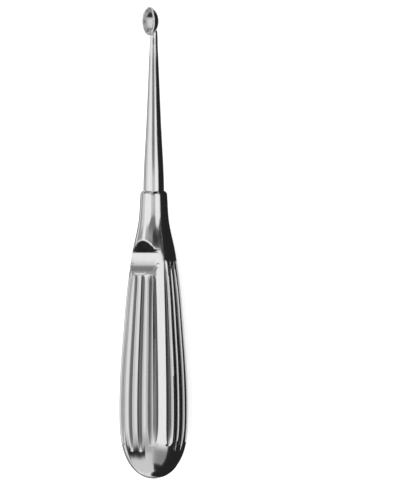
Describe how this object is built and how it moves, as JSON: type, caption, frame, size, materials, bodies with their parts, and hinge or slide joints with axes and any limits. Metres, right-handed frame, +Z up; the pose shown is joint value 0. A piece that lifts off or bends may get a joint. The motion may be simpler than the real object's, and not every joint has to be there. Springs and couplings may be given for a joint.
{
  "type": "bone curette",
  "caption": "Bone curette with a deep oval cup on a tapered round shaft and a hollow fluted handle with a thumb scoop, for scraping bone by hand.",
  "frame": {"origin": "on the surface that the tool lies on, under the middle of its bounding box", "axes": "+Y along the tool towards the cup, +Z up, with the mouth of the cup and the thumb scoop facing up"},
  "size_m": [0.0236, 0.1696, 0.0242],
  "materials": {
    "handle_steel": "satin polished",
    "shaft_steel": "satin polished"
  },
  "bodies": {
    "root": {"fluted_handle": "handle_steel", "curette_shaft": "shaft_steel"}
  },
  "joints": []
}
